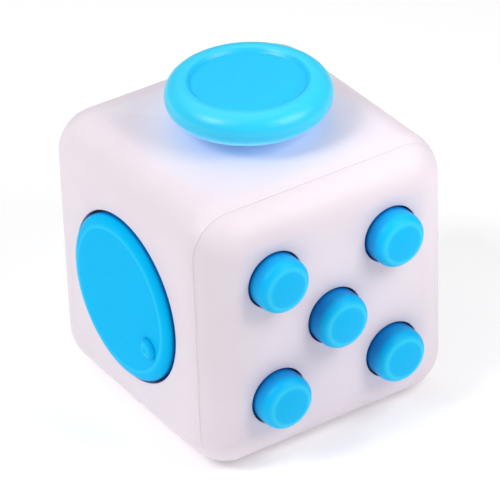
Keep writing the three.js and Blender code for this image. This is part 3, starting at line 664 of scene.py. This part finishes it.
BUTTONS = {
    "button_top_left": "snap_dome_top_left",
    "button_top_right": "silent_pad_top_right",
    "button_center": "snap_dome_center",
    "button_bottom_left": "silent_pad_bottom_left",
    "button_bottom_right": "snap_dome_bottom_right",
}
GEARS = ("gear_top", "gear_middle", "gear_bottom")

click_screws = places_of("front", numbered("click_plate_screw"))
tray_screws = places_of("top", numbered("joystick_tray_screw"))
roll_screws = places_of("right", numbered("gear_bracket_screw") + numbered("ball_housing_screw"))
flip_screws = places_of("back", numbered("rocker_housing_screw"))


def rods(radius, z_span, side, places, steps=24):
    """The same cylinder at several places of a face."""
    return [rod(radius, z_span, side, x, y, steps) for x, y in places]


def thumb_dish(grow):
    """The hollow rubbed with a thumb: an oval bowl that rolls over softly into the flat."""
    bm = bmesh.new()
    around, out, lip = 96, 28, 0.02
    rings = []
    for i in range(1, out + 1):
        share = i / out
        z = lip - (DISH_DEPTH + grow + lip) * (1 - share**2.2) ** 1.7
        ring = []
        for j in range(around):
            angle = 2 * math.pi * j / around
            x = (DISH_HALF_X + grow) * share * math.cos(angle)
            y = (DISH_HALF_Y + grow) * share * math.sin(angle)
            ring.append(bm.verts.new((x, y, z)))
        rings.append(ring)
    rings.append([bm.verts.new((v.co.x, v.co.y, CUT)) for v in rings[-1]])
    bottom = bm.verts.new((0, 0, -DISH_DEPTH - grow))
    for j in range(around):
        bm.faces.new((bottom, rings[0][j], rings[0][(j + 1) % around]))
    for lower, upper in zip(rings, rings[1:]):
        for j in range(around):
            k = (j + 1) % around
            bm.faces.new((lower[j], upper[j], upper[k], lower[k]))
    bm.faces.new(rings[-1])
    bmesh.ops.recalc_face_normals(bm, faces=bm.faces)
    return object_from(bm, "blank", face_matrix("bottom"))


def slab(side, z_span):
    """A wide block that keeps one layer of the cube."""
    wide = (-HALF - CUT, HALF + CUT)
    return block(wide, wide, z_span, side)


def hollow_cube():
    """The whole casing as one rounded hollow cube."""
    outer = rounded_box(HALF, EDGE_RADIUS, 20)
    inner = rounded_box(HALF - WALL, EDGE_RADIUS - WALL, 8)
    return combined(outer, [inner], "DIFFERENCE")


def casing_belt():
    """The four walls with the thumb dish, the dial's pocket and every hole but the buttons'."""
    seam_depth = SEAM - HALF
    backing_end = -DIAL_POCKET_DEPTH - DIAL_BACKING
    belt = combined(hollow_cube(), [slab("front", (-HALF - SEAM, seam_depth))], "INTERSECT")
    crust = combined(thumb_dish(DISH_BACKING), [rounded_box(HALF - 0.01, EDGE_RADIUS, 8)], "INTERSECT")
    dial_backing = rod(DIAL_POCKET_RADIUS + DIAL_BACKING, (backing_end, -WALL + CUT), "left", steps=64)
    bosses = [crust, dial_backing]
    for side in ("front", "back"):
        span = (seam_depth - CORNER_BOSS_LENGTH, seam_depth)
        bosses += rods(CORNER_BOSS_RADIUS, span, side, corner_places(PEG_PLACE))
    screw_span = (SCREW_BOSS_END, -WALL + CUT)
    bosses += rods(SCREW_BOSS_RADIUS, screw_span, "top", tray_screws)
    bosses += rods(SCREW_BOSS_RADIUS, screw_span, "right", roll_screws)
    combined(belt, bosses, "UNION")

    ball_middle = on_face("right", (ball_low + ball_high) / 2)
    socket_radius = (ball_high.y - ball_low.y) / 2 + BALL_SOCKET_GAP
    socket = turned(
        arc(0, 0, socket_radius, -90, 90, 32),
        64,
        matrix=face_matrix("right") @ Matrix.Translation(ball_middle),
    )
    cuts = [
        thumb_dish(0),
        rod(DIAL_POCKET_RADIUS, (-DIAL_POCKET_DEPTH, CUT), "left", steps=128),
        rod(DIAL_SHAFT_RADIUS + DIAL_SHAFT_GAP, (backing_end - CUT, CUT), "left"),
        rod(STEM_HOLE_RADIUS, (-WALL - CUT, CUT), "top", steps=96),
        socket,
    ]
    for gear in GEARS:
        low, high = box_mm(gear)
        middle = on_face("right", (low + high) / 2)
        half_x = (high.y - low.y) / 2 + BALL_SOCKET_GAP
        half_y = (high.z - low.z) / 2 + GEAR_SLOT_GAP
        x_span = (middle.x - half_x, middle.x + half_x)
        y_span = (middle.y - half_y, middle.y + half_y)
        cuts.append(block(x_span, y_span, (-WALL - CUT, CUT), "right", corner=0.5))
    for side in ("front", "back"):
        hole_span = (-PEG_REACH - PEG_HOLE_SPARE_DEPTH, 0)
        cuts += rods(PEG_RADIUS + PEG_HOLE_GAP, hole_span, side, corner_places(PEG_PLACE))
    pilot_span = (SCREW_BOSS_END - CUT, SCREW_PILOT_END)
    cuts += rods(SCREW_PILOT_RADIUS, pilot_span, "top", tray_screws)
    cuts += rods(SCREW_PILOT_RADIUS, pilot_span, "right", roll_screws)
    combined(belt, cuts, "DIFFERENCE")
    softened(belt, SOFT_EDGE)
    return finished(belt, "casing_belt", "casing", "main_shell", white)


def cover(side, extra, cuts, name, node):
    """The front or back of the casing, with its pegs."""
    plate = combined(hollow_cube(), [slab(side, (SEAM - HALF + SEAM_GAP, CUT))], "INTERSECT")
    pegs = rods(PEG_RADIUS, (-PEG_REACH, -WALL + CUT), side, corner_places(PEG_PLACE))
    combined(plate, pegs + extra, "UNION")
    combined(plate, cuts, "DIFFERENCE")
    softened(plate, SOFT_EDGE)
    return finished(plate, name, "casing", node, white)


def front_cover():
    plate_top = on_face("front", box_mm("click_plate")[0]).z
    posts = rods(SCREW_BOSS_RADIUS, (plate_top + 0.3, -WALL + CUT), "front", click_screws)
    holes = rods(BUTTON_HOLE_RADIUS, (-WALL - CUT, CUT), "front", places_of("front", BUTTONS), 96)
    pilots = rods(SCREW_PILOT_RADIUS, (plate_top - CUT, SCREW_PILOT_END), "front", click_screws)
    return cover("front", posts, holes + pilots, "casing_front", "front_cover")


def back_cover():
    posts = rods(SCREW_BOSS_RADIUS, (SCREW_BOSS_END, -WALL + CUT), "back", flip_screws)
    pilots = rods(SCREW_PILOT_RADIUS, (SCREW_BOSS_END - CUT, SCREW_PILOT_END), "back", flip_screws)
    x_span = (-ROCKER_OPENING_X, ROCKER_OPENING_X)
    y_span = (-ROCKER_OPENING_Y, ROCKER_OPENING_Y)
    opening = block(x_span, y_span, (-WALL - CUT, CUT), "back", corner=0.6)
    return cover("back", posts, [opening] + pilots, "casing_back", "back_cover")


# ------------------------------------------------------------------ buttons

BUTTON_RADIUS = 3.2
BUTTON_FILLET = 1.2
BUTTON_CROWN = 0.12
# Where and how wide the painted highlight ring lies on a button's rolled edge.
BUTTON_HIGHLIGHT_OUTSET = 0.3
BUTTON_HIGHLIGHT_WIDTH = 0.3
BUTTON_FLANGE_TOP = -2.1
BUTTON_FLANGE = 0.8
BUTTON_STEM_RADIUS = 1.3


def button(node):
    """A round button with a rolled edge and a barely crowned face."""
    low, high = box_mm(node)
    proud = on_face("front", low).z
    stem_end = on_face("front", high).z
    flange_radius = (high.x - low.x) / 2
    fillet_z = proud - BUTTON_CROWN - BUTTON_FILLET
    rolled = arc(BUTTON_RADIUS - BUTTON_FILLET, fillet_z, BUTTON_FILLET, 0, 86, 14)
    inner_radius, inner_z = rolled[-1]
    crown = []
    for i in range(1, 7):
        share = 1 - i / 6
        crown.append((inner_radius * share, proud - (proud - inner_z) * share**2))
    outline = [
        (0, stem_end),
        (BUTTON_STEM_RADIUS - 0.2, stem_end),
        (BUTTON_STEM_RADIUS, stem_end + 0.2),
        (BUTTON_STEM_RADIUS, BUTTON_FLANGE_TOP - BUTTON_FLANGE),
        (flange_radius, BUTTON_FLANGE_TOP - BUTTON_FLANGE),
        (flange_radius, BUTTON_FLANGE_TOP),
        (BUTTON_RADIUS, BUTTON_FLANGE_TOP),
        *rolled,
        *crown,
    ]
    (x, y), = places_of("front", [node])
    place = face_matrix("front") @ Matrix.Translation((x, y, 0))
    piece = turned(outline, 96, matrix=place)
    # A painted highlight ring along the rolled edge.
    paint_highlight_ring(piece, place, inner_radius + BUTTON_HIGHLIGHT_OUTSET, BUTTON_HIGHLIGHT_WIDTH)
    return finished(piece, f"{node}_moulding", node, node, blue)


# How thick a dome's steel sheet is, in millimetres.
DOME_THICKNESS = 0.12
DOME_STEPS = 24
DOME_DIMPLE_DEPTH = 0.1
DOME_DIMPLE_SHARE = 0.22
PAD_SOFT_EDGE = 0.08
PAD_SHOULDER = 0.28
PAD_TOP_HOLLOW = 0.1


def snap_dome(node, side):
    """A sprung steel dome with a dimpled crown."""
    low, high = box_mm(node)
    first, second = on_face(side, low), on_face(side, high)
    middle = (first + second) / 2
    radius = abs(first.x - second.x) / 2
    base, crown = sorted((first.z, second.z))
    rise = crown - base - DOME_THICKNESS
    under, over = [], []
    for i in range(DOME_STEPS + 1):
        share = i / DOME_STEPS
        swell = (1 - share**2) ** 0.8
        dimple = DOME_DIMPLE_DEPTH * math.exp(-((share / DOME_DIMPLE_SHARE) ** 2))
        over.append((radius * share, base + DOME_THICKNESS + rise * swell - dimple))
        under.append(((radius - 0.1) * share, base + rise * swell - dimple))
    outline = under + [(radius, base)] + over[::-1]
    place = face_matrix(side) @ Matrix.Translation((middle.x, middle.y, 0))
    piece = turned(outline, 64, matrix=place)
    # Every face lies inside the radius, so this marks no highlight, and the metal doesn't read the mark.
    paint_rim_highlight(piece, place, radius, 2 * radius)
    piece = finished(piece, f"{node}_pressing", "casing", node, plated)
    return squashed(piece)


def silent_pad(node):
    """A soft silicone foot with a ringed shoulder."""
    low, high = box_mm(node)
    first, second = on_face("front", low), on_face("front", high)
    middle = (first + second) / 2
    radius = abs(first.x - second.x) / 2
    base, crown = sorted((first.z, second.z))
    outline = [
        (0, base),
        (radius - PAD_SOFT_EDGE, base),
        (radius, base + PAD_SOFT_EDGE),
        (radius, base + PAD_SHOULDER - PAD_SOFT_EDGE),
        (radius - PAD_SOFT_EDGE, base + PAD_SHOULDER),
        (radius * 0.82, base + 0.32),
        (radius * 0.72, base + 0.6),
        (radius * 0.64, crown - 0.12),
        (radius * 0.58, crown),
        (radius * 0.3, crown),
        (radius * 0.22, crown - PAD_TOP_HOLLOW),
        (0, crown - PAD_TOP_HOLLOW),
    ]
    place = face_matrix("front") @ Matrix.Translation((middle.x, middle.y, 0))
    piece = turned(outline, 64, matrix=place)
    piece = finished(piece, f"{node}_moulding", "casing", node, silicone)
    return squashed(piece)


def squashed(piece):
    """Gives a soft piece a mesh of its own."""
    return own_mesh(piece)


# ------------------------------------------------------------------ joystick

STEM_RADIUS = 2.6
STEM_SOFT_END = 0.2
STEM_FLARE = 0.5
SKIRT_STEM_GAP = 0.3
SKIRT_SOFT_EDGE = 0.2
DISC_RIM = 1.95
DISH_FLOOR_RADIUS = 6.3
DISH_STEP_DEPTH = 0.6


def joystick_cap():
    """The blue disc with a fat round rim about a shallow sunken face, and its short stem."""
    radius = (cap_high.x - cap_low.x) / 2
    top = on_face("top", cap_high).z
    stem_end = on_face("top", cap_low).z
    rim_z = top - DISC_RIM
    underside = rim_z - DISC_RIM
    floor = top - DISH_STEP_DEPTH
    rim = arc(radius - DISC_RIM, rim_z, DISC_RIM, -90, 104, 40)
    rim_end_radius, rim_end_z = rim[-1]
    inner = DISH_FLOOR_RADIUS
    across, down = inner - rim_end_radius, floor - rim_end_z
    step = []
    for i in range(1, 13):
        share = i / 12
        ease = share * share * (3 - 2 * share)
        step.append((rim_end_radius + across * share, rim_end_z + down * ease))
    middle = on_face("top", (cap_low + cap_high) / 2)
    place = face_matrix("top") @ Matrix.Translation((middle.x, middle.y, 0))
    outline = [(0, underside), *rim, *step, (inner * 0.5, floor - 0.01), (0, floor - 0.01)]
    disc = turned(outline, 160, matrix=place)
    # A painted highlight on the rim, paler than the sunken face.
    paint_rim_highlight(disc, place, inner, rim_end_radius)
    finished(disc, "joystick_disc", "joystick", "joystick_cap", glossy_blue)

    stem_outline = [
        (0, SCREW_PILOT_END),
        (SCREW_PILOT_RADIUS, SCREW_PILOT_END),
        (SCREW_PILOT_RADIUS, stem_end),
        (STEM_RADIUS - STEM_SOFT_END, stem_end),
        (STEM_RADIUS, stem_end + STEM_SOFT_END),
        (STEM_RADIUS, underside - STEM_FLARE),
        (STEM_RADIUS + 0.3 * STEM_FLARE, underside - 0.3 * STEM_FLARE),
        (STEM_RADIUS + STEM_FLARE, underside),
        (STEM_RADIUS + STEM_FLARE, underside + 0.2),
        (0, underside + 0.2),
    ]
    stem = turned(stem_outline, 96, matrix=place)
    return finished(stem, "joystick_stem", "joystick", "joystick_cap", blue)


def joystick_skirt():
    """The flat blue washer that keeps the stem's hole closed as the stick slides."""
    low, high = box_mm("joystick_skirt")
    bottom, top = on_face("top", low), on_face("top", high)
    inner = STEM_RADIUS + SKIRT_STEM_GAP
    outer = (high.x - low.x) / 2
    outline = [
        (inner, bottom.z),
        (outer - SKIRT_SOFT_EDGE, bottom.z),
        (outer, bottom.z + SKIRT_SOFT_EDGE),
        (outer, top.z - SKIRT_SOFT_EDGE),
        (outer - SKIRT_SOFT_EDGE, top.z),
        (inner, top.z),
    ]
    middle = (bottom + top) / 2
    place = face_matrix("top") @ Matrix.Translation((middle.x, middle.y, 0))
    piece = turned(outline, 96, matrix=place)
    return finished(piece, "joystick_skirt_ring", "joystick", "joystick_skirt", blue)


# ------------------------------------------------------------------ dial

DIAL_ROUND_WIDTH = 1.5
DIAL_ROUND_HEIGHT = 0.85
DIAL_PROUD = 0.9
DIAL_UNDERSIDE_GAP = 0.3
BUMP_RADIUS = 1.25
BUMP_BLEND = 0.05
BUMP_SINK = 0.15
BUMP_STEPS = 20
BUMP_PLACE = (5.9, -3.25)
# Where and how wide the painted highlight rings lie on the bump and on the dial's rounded edge.
BUMP_HIGHLIGHT_RADIUS = 0.6
BUMP_HIGHLIGHT_WIDTH = 0.3
DIAL_HIGHLIGHT_INSET = 1.4
DIAL_HIGHLIGHT_WIDTH = 0.32


def dial():
    """The spinning disc with its shaft, and the small bump that a fingertip turns it by."""
    radius = (dial_high.y - dial_low.y) / 2
    shaft_end = on_face("left", dial_high).z
    top = DIAL_PROUD
    underside = -DIAL_POCKET_DEPTH + DIAL_UNDERSIDE_GAP
    rounded = []
    for across, up in arc(0, 0, 1, 0, 90, 24):
        rounded.append((radius - DIAL_ROUND_WIDTH * (1 - across), top - DIAL_ROUND_HEIGHT * (1 - up)))
    outline = [
        (0, underside - CUT),
        (SCREW_PILOT_RADIUS, underside - CUT),
        (SCREW_PILOT_RADIUS, shaft_end),
        (DIAL_SHAFT_RADIUS, shaft_end),
        (DIAL_SHAFT_RADIUS, underside),
        (radius - DIAL_UNDERSIDE_GAP, underside),
        (radius, underside + DIAL_UNDERSIDE_GAP),
        *rounded,
        (radius * 0.5, top),
        (0, top),
    ]
    disc = turned(outline, 192, matrix=face_matrix("left"))
    # A painted highlight ring along the dial's rounded edge.
    paint_highlight_ring(disc, face_matrix("left"), radius - DIAL_HIGHLIGHT_INSET, DIAL_HIGHLIGHT_WIDTH)
    finished(disc, "dial_disc", "dial", "dial", satin_blue)

    rise = on_face("left", dial_low).z - top
    foot = BUMP_RADIUS + BUMP_BLEND
    profile = [(0, top - BUMP_SINK), (foot, top - BUMP_SINK)]
    for i in range(BUMP_STEPS + 1):
        share = 1 - i / BUMP_STEPS
        profile.append((foot * share, top + rise * (1 - share**2) ** 0.75))
    place = face_matrix("left") @ Matrix.Translation((*BUMP_PLACE, 0))
    bump = turned(profile, 64, matrix=place)
    # A painted highlight ring on the bump's top.
    paint_highlight_ring(bump, place, BUMP_HIGHLIGHT_RADIUS, BUMP_HIGHLIGHT_WIDTH)
    return finished(bump, "dial_finger_bump", "dial", "dial", satin_blue, 60)


# ------------------------------------------------------------------ gears and ball

GEAR_TEETH = 16
GEAR_ROOT_SHARE = 0.86
GEAR_TOOTH_SAMPLES = 12
GEAR_TOOTH_SQUARENESS = 2.4
AXLE_BORE = 1.0


def gear(node):
    """A small toothed wheel with rounded teeth."""
    low, high = box_mm(node)
    middle = (low + high) / 2
    radius = (high.x - low.x) / 2
    depth = (high.z - low.z) / 2
    outline = []
    samples = GEAR_TEETH * GEAR_TOOTH_SAMPLES
    mean, swing = radius * (1 + GEAR_ROOT_SHARE) / 2, radius * (1 - GEAR_ROOT_SHARE) / 2
    for i in range(samples):
        angle = 2 * math.pi * i / samples
        wave = math.cos(angle * GEAR_TEETH)
        height = mean + swing * math.tanh(GEAR_TOOTH_SQUARENESS * wave) / math.tanh(GEAR_TOOTH_SQUARENESS)
        outline.append((height * math.cos(angle), height * math.sin(angle)))
    turn = Matrix.Rotation(-math.pi / 2, 4, "Y")
    piece = prism(outline, depth, "blank", Matrix.Translation(middle) @ turn)
    bore_end = depth + BORE_SPARE
    bore_outline = [(0, -bore_end), (AXLE_BORE, -bore_end), (AXLE_BORE, bore_end), (0, bore_end)]
    bore = turned(bore_outline, 32, matrix=Matrix.Translation(middle))
    combined(piece, [bore], "DIFFERENCE")
    softened(piece, 0.18, 3, 50)
    return finished(piece, f"{node}_moulding", node, node, blue)


def steel_ball():
    """The polished ball, with the faint flat that grinding leaves at each pole."""
    radius = (ball_high.z - ball_low.z) / 2
    outline = [(0, -radius * 0.9995), *arc(0, 0, radius, -87, 87, 64), (0, radius * 0.9995)]
    piece = turned(outline, 128, matrix=Matrix.Translation((ball_low + ball_high) / 2))
    return finished(piece, "steel_ball_polished", "steel_ball", "steel_ball", polished)


# ------------------------------------------------------------------ rocker

ROCKER_PIVOT_DEPTH = 3.4
ROCKER_TILT = math.radians(12)
ROCKER_VALLEY = 3.8
ROCKER_HALF_TOP = 5.6
ROCKER_VALLEY_RADIUS = 9.0
ROCKER_VALLEY_RISE = 0.2
ROCKER_VALLEY_STEPS = 6
HUB_RADIUS = 2.2
HUB_END = -2.9
HUB_TOP = -1.6
PIN_BORE_RADIUS = 0.8
PLUNGER_BORE_RADIUS = 0.85
PLUNGER_BORE_END = -1.2


def rocker():
    """The switch: two flat lobes meeting in a shallow valley, tipped to one side at rest."""
    low, high = box_mm("rocker")
    half_width = (high.x - low.x) / 2
    tip_z = ROCKER_VALLEY + ROCKER_HALF_TOP * math.tan(ROCKER_TILT)
    end_radius = math.hypot(ROCKER_HALF_TOP, tip_z)
    top_angle = math.degrees(math.atan2(tip_z, ROCKER_HALF_TOP))
    valley_z = ROCKER_VALLEY + ROCKER_VALLEY_RISE
    valley = []
    for i in range(-ROCKER_VALLEY_STEPS, ROCKER_VALLEY_STEPS + 1):
        angle = ROCKER_TILT * i / ROCKER_VALLEY_STEPS
        rise = ROCKER_VALLEY_RADIUS * (1 - math.cos(angle))
        valley.append((ROCKER_VALLEY_RADIUS * math.sin(angle), valley_z + rise))
    outline = [
        (HUB_RADIUS, HUB_END),
        (HUB_RADIUS, HUB_TOP),
        *arc(0, 0, end_radius, -6, top_angle, 20),
        *valley[::-1],
        *arc(0, 0, end_radius, 180 - top_angle, 186, 20),
        (-HUB_RADIUS, HUB_TOP),
        (-HUB_RADIUS, HUB_END),
    ]
    tilt = Matrix.Translation((0, 0, -ROCKER_PIVOT_DEPTH)) @ Matrix.Rotation(ROCKER_TILT, 4, "X")
    place = face_matrix("back") @ tilt
    piece = prism(outline, half_width, "blank", place)
    pin_end = half_width + BORE_SPARE
    pin_outline = [(0, -pin_end), (PIN_BORE_RADIUS, -pin_end), (PIN_BORE_RADIUS, pin_end), (0, pin_end)]
    pin_bore = turned(pin_outline, 32, matrix=place @ Matrix.Rotation(math.pi / 2, 4, "Y"))
    plunger_outline = [
        (0, HUB_END - CUT),
        (PLUNGER_BORE_RADIUS, HUB_END - CUT),
        (PLUNGER_BORE_RADIUS, PLUNGER_BORE_END),
        (0, PLUNGER_BORE_END),
    ]
    plunger_bore = turned(plunger_outline, 32, matrix=place)
    combined(piece, [pin_bore, plunger_bore], "DIFFERENCE")
    softened(piece, 0.35, 4, 40)
    return finished(piece, "rocker_moulding", "rocker", "rocker", blue)


# ------------------------------------------------------------------ assembly

casing_belt()
front_cover()
back_cover()
for name, spring in BUTTONS.items():
    button(name)
    if spring.startswith("snap"):
        snap_dome(spring, "front")
    else:
        silent_pad(spring)
snap_dome("ball_snap_dome", "right")
joystick_cap()
joystick_skirt()
dial()
for name in GEARS:
    gear(name)
steel_ball()
rocker()

CAD_LOOKS = {
    "mechanism_grey": grey,
    "pad_rubber": silicone,
    "steel": plated,
    "polished_steel": polished,
    "shell_white": white,
    "accent_blue": blue,
}
slot_of = {}
for entry in frame["record"]["subparts"]:
    slot_of[entry["node"]] = entry["material_slot"]
for name, node in frame["nodes"].items():
    node.data.materials.clear()
    node.data.materials.append(CAD_LOOKS[slot_of[name]])


# ------------------------------------------------------------------ studio and camera

CAMERA_AZIMUTH = math.radians(-32.8)
CAMERA_ELEVATION = math.radians(32.98)
CAMERA_ROLL = math.radians(-1.98)
CAMERA_DISTANCE = 0.4167
CAMERA_LENS = 267.55
FLOOR_SIZE = 6.0
FLOOR_COLOUR = (0.95, 0.95, 0.95)
FLOOR_GLOW = 0.19
SURROUND_STRENGTH = 0.23

# Each lamp's name, place and width in metres, and power in watts.
LAMPS = (
    ("top_softbox", (0.0, 0.2, 0.6), 0.7, 1.6),
    ("left_softbox", (-0.45, 0.05, 0.5), 0.25, 1.9),
    ("key_softbox", (0.035, -0.07, 0.085), 0.05, 0.044),
)


def floor_paint():
    """Plain matt paint for the floor."""
    shader = Shader("floor_white")
    mottle = shader.noise(40.0, detail=2.0)
    shader.set(
        Base_Color=shader.ramp(mottle, tuple(c * 0.995 for c in FLOOR_COLOUR), FLOOR_COLOUR),
        Roughness=0.9,
        Specular_IOR_Level=0.1,
        Emission_Color=(*FLOOR_COLOUR, 1.0),
        Emission_Strength=FLOOR_GLOW,
    )
    return shader.material


def studio():
    """A white floor, a white surround, a broad lamp above, one at the left and a small one in front."""
    bm = bmesh.new()
    bmesh.ops.create_grid(bm, x_segments=1, y_segments=1, size=FLOOR_SIZE / 2)
    floor = object_from(bm, "studio_floor")
    floor.data.materials.append(floor_paint())

    world = bpy.data.worlds.new("surround")
    world.use_nodes = True
    background = world.node_tree.nodes["Background"]
    background.inputs["Color"].default_value = (1, 1, 1, 1)
    background.inputs["Strength"].default_value = SURROUND_STRENGTH
    bpy.context.scene.world = world

    centre = Vector((0, 0, HALF * MM))
    for name, place, size, power in LAMPS:
        light = bpy.data.lights.new(name, "AREA")
        light.size = size
        light.energy = power
        lamp = bpy.data.objects.new(name, light)
        lamp.location = Vector(place)
        lamp.rotation_mode = "QUATERNION"
        lamp.rotation_quaternion = (centre - lamp.location).to_track_quat("-Z", "Y")
        bpy.context.scene.collection.objects.link(lamp)


def camera():
    """A long lens on the cube's centre, looking down at the joystick, the buttons and the dial."""
    level = math.cos(CAMERA_ELEVATION)
    across = math.sin(CAMERA_AZIMUTH) * level
    along = -math.cos(CAMERA_AZIMUTH) * level
    back = Vector((across, along, math.sin(CAMERA_ELEVATION)))
    right = (-back).cross(Vector((0, 0, 1))).normalized()
    up = right.cross(-back)
    rolled_right = right * math.cos(CAMERA_ROLL) + up * math.sin(CAMERA_ROLL)
    rolled_up = up * math.cos(CAMERA_ROLL) - right * math.sin(CAMERA_ROLL)
    centre = Vector((0, 0, HALF * MM))
    lens = bpy.data.cameras.new("studio_camera")
    lens.lens = CAMERA_LENS
    lens.sensor_width = 36
    lens.clip_start = 0.01
    lens.clip_end = 20
    result = bpy.data.objects.new("studio_camera", lens)
    turn = Matrix((rolled_right, rolled_up, back)).transposed().to_4x4()
    result.matrix_world = Matrix.Translation(centre + back * CAMERA_DISTANCE) @ turn
    bpy.context.scene.collection.objects.link(result)
    bpy.context.scene.camera = result


studio()
camera()
bpy.context.scene.view_settings.view_transform = "Standard"
